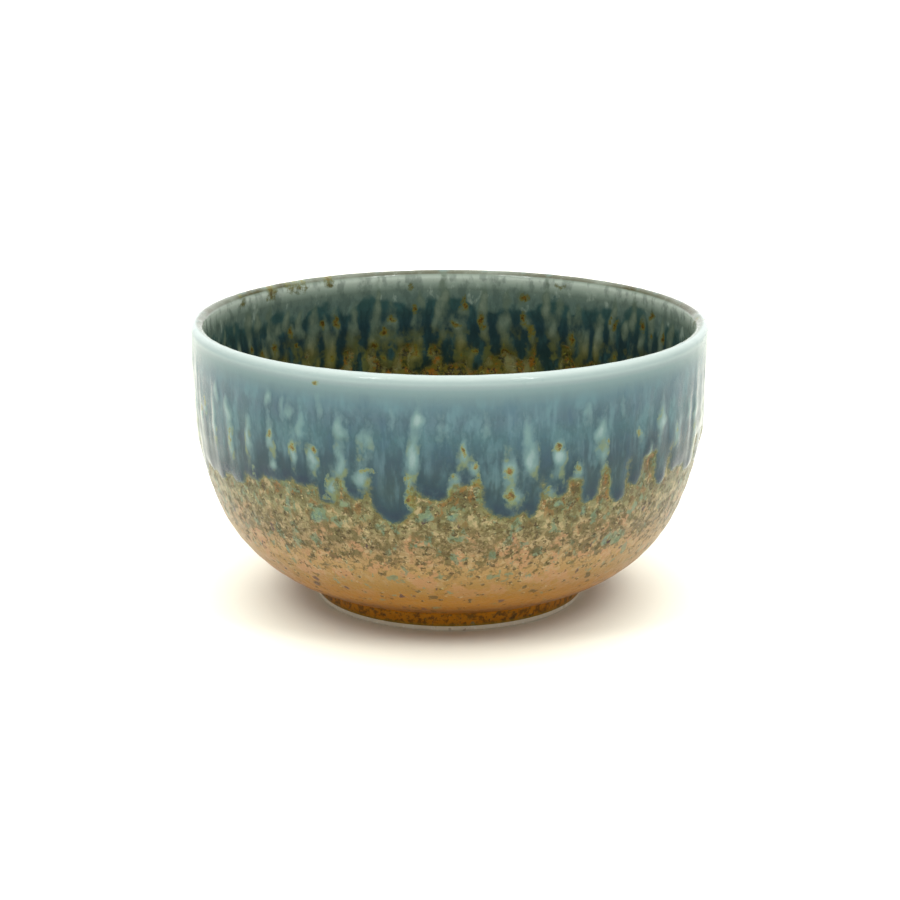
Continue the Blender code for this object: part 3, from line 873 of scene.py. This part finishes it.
def well_coat(material):
    front = list(inner_rows(INNER_SEAM, FLOOR_START, 86))
    floor_r, floor_z = front[-1][:2]
    level = float(np.mean(floor_z))
    floor = []
    for t in np.linspace(1.0, 0.02, 20)[1:]:
        distance = np.full(COLUMNS, FLOOR_START + 3 * (1 - t))
        floor.append((floor_r * t, floor_z * t + level * (1 - t), distance, INSIDE, 1.0))
    back = list(inner_rows(FLOOR_START, INNER_SEAM, 9, sunk=GLAZE))
    base_r, base_z = (float(np.mean(value)) for value in back[0][:2])
    under = [plain_row(base_r * t, base_z, FLOOR_START, INSIDE, 1.0) for t in (0.1, 0.5)]
    rows = under + back + front + floor
    return shell("well_coat", rows, material, "well_speckled_glaze", closed=False)


def underside_coat(material):
    wall = FOOT_RADIUS - FOOT_WIDTH
    side = FOOT_CORNER + 2
    fillet = 0.6
    rows = [plain_row(r, RECESS_DEPTH, side) for r in np.linspace(0.6, wall - fillet, 24)]
    for a in (0.5, 1.0, 1.5):  # round the corner between the recess's ceiling and its wall
        rows.append(plain_row(wall - fillet + fillet * sin(a), RECESS_DEPTH - fillet * (1 - cos(a)), side))
    rows += [plain_row(wall, z, side) for z in np.linspace(RECESS_DEPTH - 0.8, WIPED_EDGE, 5)]
    rows += [plain_row(wall + GLAZE, WIPED_EDGE, side), plain_row(wall + GLAZE, RECESS_DEPTH + GLAZE, side)]
    rows += [plain_row(2.0, RECESS_DEPTH + GLAZE, side)]
    return shell("underside_coat", rows, material, "underside_glaze", closed=False)


def bare_foot(material):
    outer = FOOT_RADIUS - CLAY_UNDER_GLAZE
    inner = FOOT_RADIUS - FOOT_WIDTH + CLAY_UNDER_GLAZE
    round_r = 0.35
    top = RECESS_DEPTH + 0.2
    turn = np.linspace(0, pi / 2, 6)
    rows = [plain_row(outer - round_r + round_r * sin(a), round_r * (1 - cos(a)), FOOT_CORNER) for a in turn]
    rows += [plain_row(outer, top, FOOT_CORNER), plain_row(inner, top, FOOT_CORNER)]
    for a in turn[::-1]:
        rows.append(plain_row(inner + round_r - round_r * sin(a), round_r * (1 - cos(a)), FOOT_CORNER))
    for t in (0.25, 0.5, 0.75):
        rows.append(plain_row(inner + round_r + (outer - inner - 2 * round_r) * t, 0.0, FOOT_CORNER))
    return shell("bare_foot", rows, material, "foot_ring")


# ---------------------------------------------------------------- studio


def studio_floor():
    """A plain white table, seen only from above, so a view from below shows the foot."""
    half = 30.0  # metres, so its edge lies at the horizon
    corners = [(-half, -half, 0), (half, -half, 0), (half, half, 0), (-half, half, 0)]
    mesh = bpy.data.meshes.new("studio_floor")
    mesh.from_pydata(corners, [], [(0, 1, 2, 3)])
    floor = bpy.data.objects.new("studio_floor", mesh)
    bpy.context.scene.collection.objects.link(floor)
    g = Graph("white_table")
    g.shader.inputs["Base Color"].default_value = (0.91, 0.91, 0.80, 1)
    g.shader.inputs["Roughness"].default_value = 0.9
    clear = g.nodes.new("ShaderNodeBsdfTransparent")
    chosen = g.nodes.new("ShaderNodeMixShader")
    g.feed(g.nodes.new("ShaderNodeNewGeometry").outputs["Backfacing"], chosen.inputs[0])
    g.links.new(g.shader.outputs[0], chosen.inputs[1])
    g.links.new(clear.outputs[0], chosen.inputs[2])
    g.links.new(chosen.outputs[0], g.nodes["Material Output"].inputs["Surface"])
    mesh.materials.append(g.material)


# By how far a direction points along an axis: where the tent's light starts and stops rising, and its
# strength at both ends
TENT_LIGHT = (
    ("Y", 0.38, 0.90, 0.40, 1.6),  # the walls, from the viewer's side to the far side
    ("Z", 0.55, 0.90, 0.0, 2.92),  # the soft light overhead
)


def light_tent():
    """A soft light overhead and white walls behind; the viewer's side is dim, where the tent is open."""
    world = bpy.data.worlds.new("light_tent")
    bpy.context.scene.world = world
    world.use_nodes = True
    nodes = world.node_tree.nodes
    links = world.node_tree.links
    background = nodes["Background"]
    split = nodes.new("ShaderNodeSeparateXYZ")
    links.new(nodes.new("ShaderNodeTexCoord").outputs["Generated"], split.inputs[0])
    total = nodes.new("ShaderNodeMath")
    total.operation = "ADD"
    for i, (axis, start, end, near_value, far_value) in enumerate(TENT_LIGHT):
        part = nodes.new("ShaderNodeMapRange")
        part.interpolation_type = "SMOOTHSTEP"
        part.inputs["From Min"].default_value = start
        part.inputs["From Max"].default_value = end
        part.inputs["To Min"].default_value = near_value
        part.inputs["To Max"].default_value = far_value
        links.new(split.outputs[axis], part.inputs["Value"])
        links.new(part.outputs[0], total.inputs[i])
    links.new(total.outputs[0], background.inputs["Strength"])
    background.inputs["Color"].default_value = (1.0, 0.995, 0.985, 1.0)


LAMP_ASIDE = 0.64
LAMP_BEFORE = 0.76
LAMP_ABOVE = 1.08
LAMP_WIDTH = 0.14
LAMP_LENGTH = 0.5
LAMP_POWER = 4.6  # watts


def lamp(name, place, width, length, power):
    """A tall soft strip of light, aimed at the bowl."""
    data = bpy.data.lights.new(name, "AREA")
    data.shape = "RECTANGLE"
    data.size = width
    data.size_y = length
    data.energy = power
    lamp_object = bpy.data.objects.new(name, data)
    bpy.context.scene.collection.objects.link(lamp_object)
    lamp_object.location = place
    aim = Vector((0, 0, HEIGHT * MM / 2)) - Vector(place)
    lamp_object.rotation_euler = aim.to_track_quat("-Z", "Y").to_euler()


def studio_lights():
    """Two narrow strips at the front, to the left and the right."""
    for name, side in (("front_left", -1), ("front_right", 1)):
        lamp(name, (side * LAMP_ASIDE, -LAMP_BEFORE, LAMP_ABOVE), LAMP_WIDTH, LAMP_LENGTH, LAMP_POWER)


CAMERA_PLACE = (0.00008, -0.500, 0.1720)
CAMERA_DIP = 15.43  # degrees below the horizon
CAMERA_LENS = 87.56  # millimetres, on a sensor of 36


def camera():
    data = bpy.data.cameras.new("camera")
    data.lens = CAMERA_LENS
    data.sensor_width = 36.0
    view = bpy.data.objects.new("camera", data)
    bpy.context.scene.collection.objects.link(view)
    view.location = CAMERA_PLACE
    view.rotation_euler = (radians(90.0 - CAMERA_DIP), 0.0, 0.0)
    bpy.context.scene.camera = view


def main():
    camera()
    studio_floor()
    light_tent()
    studio_lights()
    bpy.context.scene.view_settings.view_transform = "Standard"
    glaze = glaze_material("kiln_glazes")
    clay = clay_material()
    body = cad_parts["clay_body"].data
    body.materials.clear()
    body.materials.append(clay)
    rim_blue_coat(glaze)
    outer_speckled_coat(glaze)
    well_coat(glaze)
    underside_coat(glaze)
    bare_foot(clay)


main()
